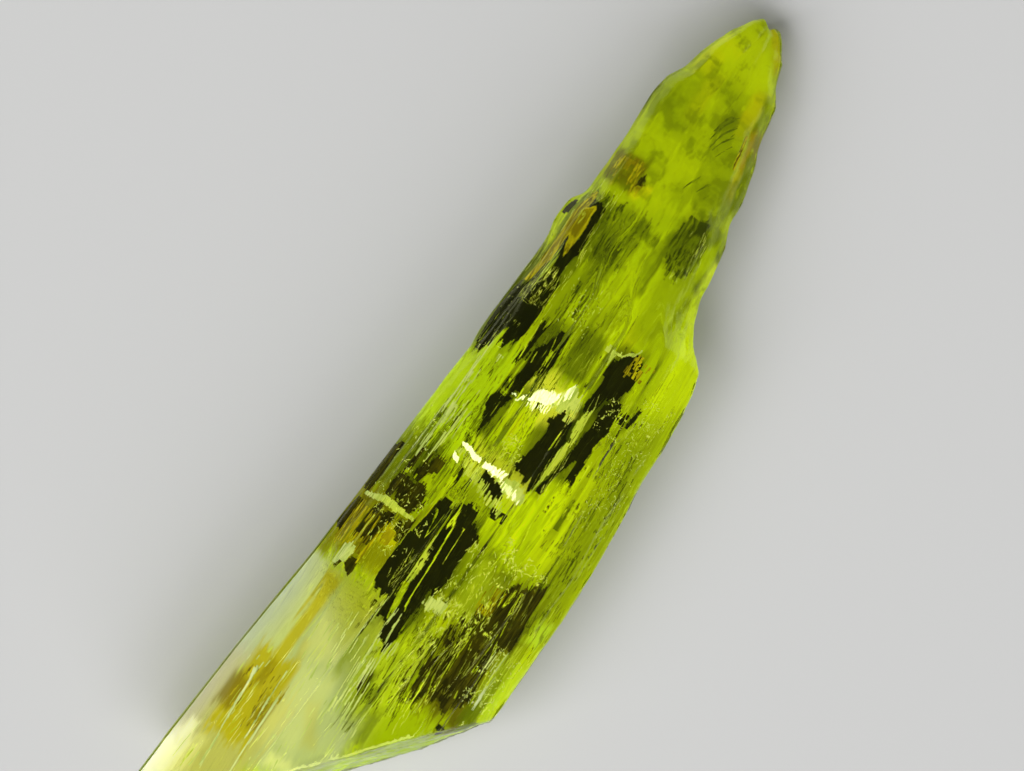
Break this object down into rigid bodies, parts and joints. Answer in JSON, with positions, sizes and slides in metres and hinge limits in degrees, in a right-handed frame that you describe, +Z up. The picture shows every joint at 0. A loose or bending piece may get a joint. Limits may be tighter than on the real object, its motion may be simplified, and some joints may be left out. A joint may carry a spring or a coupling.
{
  "type": "hiddenite crystal",
  "caption": "Long flattened clear green crystal with a grooved front, an etched tapering tip and an oblique broken base, lying on its flat back face.",
  "frame": {"origin": "centre of the bounding box in plan, on the flat back face that the crystal lies on", "axes": "+X along the prism (the crystal's c axis) from the broken base to the etched tip, +Y towards the straight left edge, +Z up through the front face"},
  "size_m": [0.0676, 0.0172, 0.009],
  "materials": {
    "hiddenite": "clear natural crystal face, finely grooved along its length, satin and etched towards the tip",
    "healed_fracture": "pale silky growth tubes, veils and bright cross fractures sealed inside the crystal",
    "iron_stain": "dull amber to brown iron oxide film in cracks and along growth lines"
  },
  "bodies": {
    "root": {"hiddenite_crystal": "hiddenite"}
  },
  "joints": []
}
